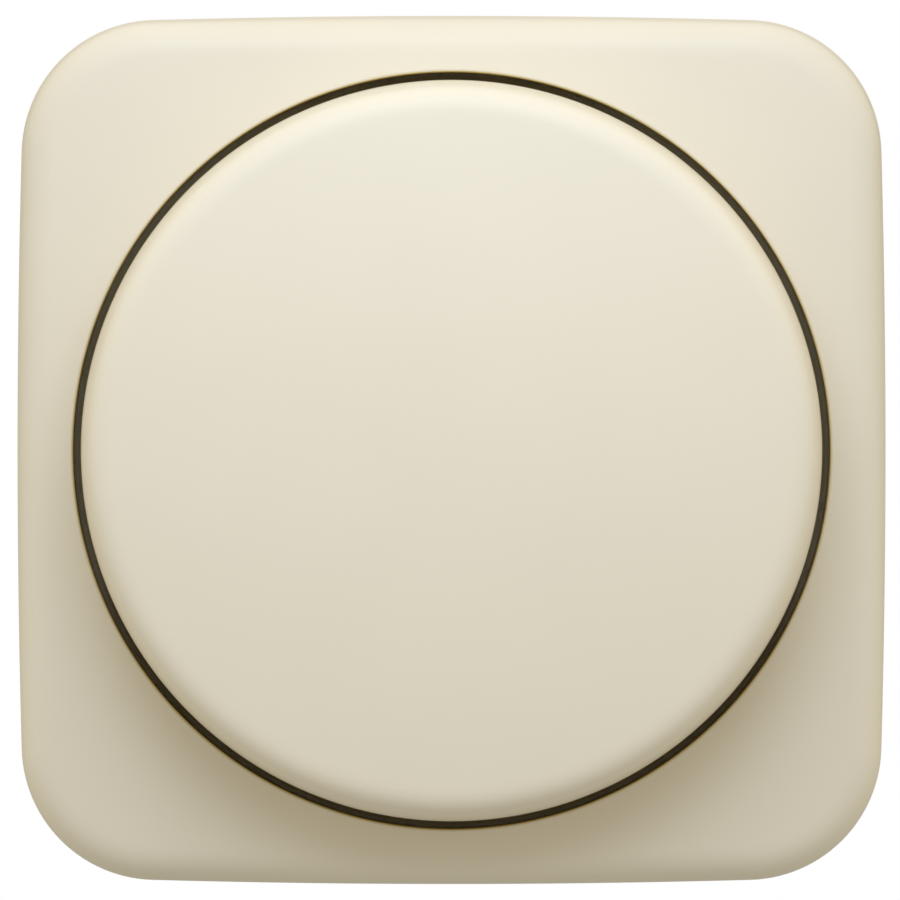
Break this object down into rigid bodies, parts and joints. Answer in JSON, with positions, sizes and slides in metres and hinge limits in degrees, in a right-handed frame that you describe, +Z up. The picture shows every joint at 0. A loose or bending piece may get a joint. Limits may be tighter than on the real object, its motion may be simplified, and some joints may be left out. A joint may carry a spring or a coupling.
{
  "type": "rotary wall dimmer",
  "caption": "Square cream cover with rounded corners and a large round push-and-turn knob, on a flush insert with a steel ring, spreader claws, screw terminals and a fuse drawer.",
  "frame": {"origin": "on the knob's axis, in the plane of the wall surface, which is also the centre of the overall box", "axes": "+Y into the wall, so the knob faces -Y; +Z up; +X to the right as seen from the room"},
  "size_m": [0.08, 0.044, 0.08],
  "materials": {
    "ivory_plastic": "satin moulded thermoplastic, cream",
    "black_plastic": "fine-textured moulded plastic, black",
    "grey_plastic": "moulded nylon, mid grey",
    "white_plastic": "moulded acetal, off-white",
    "zinc_plated_steel": "bright zinc plate, pressed and turned steel",
    "spring_steel": "plain spring steel",
    "brass": "pressed and turned brass",
    "nickel_plating": "nickel-plated caps",
    "aluminium_sheet": "plain rolled sheet",
    "enamelled_copper": "enamelled copper wire",
    "ferrite": "sintered powder core, dark grey",
    "film_yellow": "moulded capacitor case, yellow",
    "board_laminate": "green solder mask over laminate",
    "phenolic": "paper laminate, brown",
    "fuse_glass": "clear glass tube"
  },
  "bodies": {
    "insert": {"busbar_1": "brass", "busbar_2": "brass", "busbar_3": "brass", "choke_core": "ferrite", "choke_winding": "enamelled_copper", "circuit_board": "board_laminate", "cover_plate": "ivory_plastic", "film_capacitor": "film_yellow", "fixed_contact_left": "brass", "fixed_contact_right": "brass", "fuse_clip_left": "brass", "fuse_clip_right": "brass", "heat_spreader": "aluminium_sheet", "insert_housing": "black_plastic", "insert_lid": "black_plastic", "lid_screw_1": "zinc_plated_steel", "lid_screw_2": "zinc_plated_steel", "lid_screw_3": "zinc_plated_steel", "lid_screw_4": "zinc_plated_steel", "potentiometer_case": "grey_plastic", "potentiometer_track": "phenolic", "power_transistor": "black_plastic", "retaining_nut": "grey_plastic", "support_ring": "zinc_plated_steel", "switch_case": "white_plastic", "switch_spring": "spring_steel", "threaded_neck": "brass", "transistor_clip": "spring_steel", "trimmer_body": "grey_plastic"},
    "knob": {"knob": "ivory_plastic", "knob_clip": "spring_steel", "knob_shaft": "zinc_plated_steel", "shaft_circlip": "spring_steel"},
    "plunger": {"switch_plunger": "white_plastic", "contact_bridge": "brass"},
    "wiper": {"potentiometer_wiper": "white_plastic"},
    "trimmer_dial": {"trimmer_rotor": "white_plastic"},
    "fuse_drawer": {"fuse_carrier": "grey_plastic", "fuse_tube": "fuse_glass", "fuse_cap_right": "nickel_plating", "fuse_cap_left": "nickel_plating"},
    "claw_screw_right": {"claw_screw_right": "zinc_plated_steel"},
    "claw_nut_right": {"claw_nut_right": "zinc_plated_steel"},
    "claw_right": {"claw_right": "zinc_plated_steel"},
    "claw_screw_left": {"claw_screw_left": "zinc_plated_steel"},
    "claw_nut_left": {"claw_nut_left": "zinc_plated_steel"},
    "claw_left": {"claw_left": "zinc_plated_steel"},
    "terminal_screw_1": {"terminal_screw_1": "zinc_plated_steel"},
    "terminal_cage_1": {"terminal_cage_1": "zinc_plated_steel"},
    "terminal_screw_2": {"terminal_screw_2": "zinc_plated_steel"},
    "terminal_cage_2": {"terminal_cage_2": "zinc_plated_steel"},
    "terminal_screw_3": {"terminal_screw_3": "zinc_plated_steel"},
    "terminal_cage_3": {"terminal_cage_3": "zinc_plated_steel"}
  },
  "joints": [
    {"name": "knob_push", "type": "slide", "parent": "insert", "child": "plunger", "axis": [0, 1, 0], "range_m": [0, 0.002], "stiffness_N_per_m": 1200, "deforming": ["switch_spring"]},
    {"name": "knob_turn", "type": "hinge", "parent": "plunger", "child": "knob", "pos_m": [0, 0, 0], "axis": [0, 1, 0], "range_deg": [-135, 135]},
    {"name": "wiper_turn", "type": "hinge", "parent": "insert", "child": "wiper", "pos_m": [0, 0, 0], "axis": [0, 1, 0], "range_deg": [-135, 135]},
    {"name": "trimmer_turn", "type": "hinge", "parent": "insert", "child": "trimmer_dial", "pos_m": [-0.0118, 0, 0.0126], "axis": [0, 1, 0], "range_deg": [-110, 110]},
    {"name": "fuse_drawer_slide", "type": "slide", "parent": "insert", "child": "fuse_drawer", "axis": [0, 1, 0], "range_m": [0, 0.012]},
    {"name": "claw_screw_right_turn", "type": "hinge", "parent": "insert", "child": "claw_screw_right", "pos_m": [0.0215, 0, 0], "axis": [0, 1, 0], "range_deg": [0, 3600]},
    {"name": "claw_nut_right_travel", "type": "slide", "parent": "insert", "child": "claw_nut_right", "axis": [0, -1, 0], "range_m": [0, 0.006]},
    {"name": "claw_right_swing", "type": "hinge", "parent": "claw_nut_right", "child": "claw_right", "pos_m": [0.0257, 0.0165, 0], "axis": [0, 0, 1], "range_deg": [0, 30]},
    {"name": "claw_screw_left_turn", "type": "hinge", "parent": "insert", "child": "claw_screw_left", "pos_m": [-0.0215, 0, 0], "axis": [0, 1, 0], "range_deg": [0, 3600]},
    {"name": "claw_nut_left_travel", "type": "slide", "parent": "insert", "child": "claw_nut_left", "axis": [0, -1, 0], "range_m": [0, 0.006]},
    {"name": "claw_left_swing", "type": "hinge", "parent": "claw_nut_left", "child": "claw_left", "pos_m": [-0.0257, 0.0165, 0], "axis": [0, 0, -1], "range_deg": [0, 30]},
    {"name": "terminal_screw_1_turn", "type": "hinge", "parent": "insert", "child": "terminal_screw_1", "pos_m": [-0.011, 0.02, -0.0173], "axis": [0, -1, 0], "range_deg": [0, 1440]},
    {"name": "terminal_cage_1_lift", "type": "slide", "parent": "insert", "child": "terminal_cage_1", "axis": [0, 1, 0], "range_m": [0, 0.0024]},
    {"name": "terminal_screw_2_turn", "type": "hinge", "parent": "insert", "child": "terminal_screw_2", "pos_m": [0, 0.02, -0.0173], "axis": [0, -1, 0], "range_deg": [0, 1440]},
    {"name": "terminal_cage_2_lift", "type": "slide", "parent": "insert", "child": "terminal_cage_2", "axis": [0, 1, 0], "range_m": [0, 0.0024]},
    {"name": "terminal_screw_3_turn", "type": "hinge", "parent": "insert", "child": "terminal_screw_3", "pos_m": [0.011, 0.02, -0.0173], "axis": [0, -1, 0], "range_deg": [0, 1440]},
    {"name": "terminal_cage_3_lift", "type": "slide", "parent": "insert", "child": "terminal_cage_3", "axis": [0, 1, 0], "range_m": [0, 0.0024]}
  ],
  "couplings": [
    {"joint": "wiper_turn", "follows": "knob_turn", "ratio": 1},
    {"joint": "claw_screw_right_turn", "follows": "claw_nut_right_travel", "rad_per_m": 10472},
    {"joint": "claw_right_swing", "follows": "claw_nut_right_travel", "rad_per_m": 87.266},
    {"joint": "claw_screw_left_turn", "follows": "claw_nut_left_travel", "rad_per_m": 10472},
    {"joint": "claw_left_swing", "follows": "claw_nut_left_travel", "rad_per_m": 87.266},
    {"joint": "terminal_screw_1_turn", "follows": "terminal_cage_1_lift", "rad_per_m": 10472},
    {"joint": "terminal_screw_2_turn", "follows": "terminal_cage_2_lift", "rad_per_m": 10472},
    {"joint": "terminal_screw_3_turn", "follows": "terminal_cage_3_lift", "rad_per_m": 10472}
  ]
}
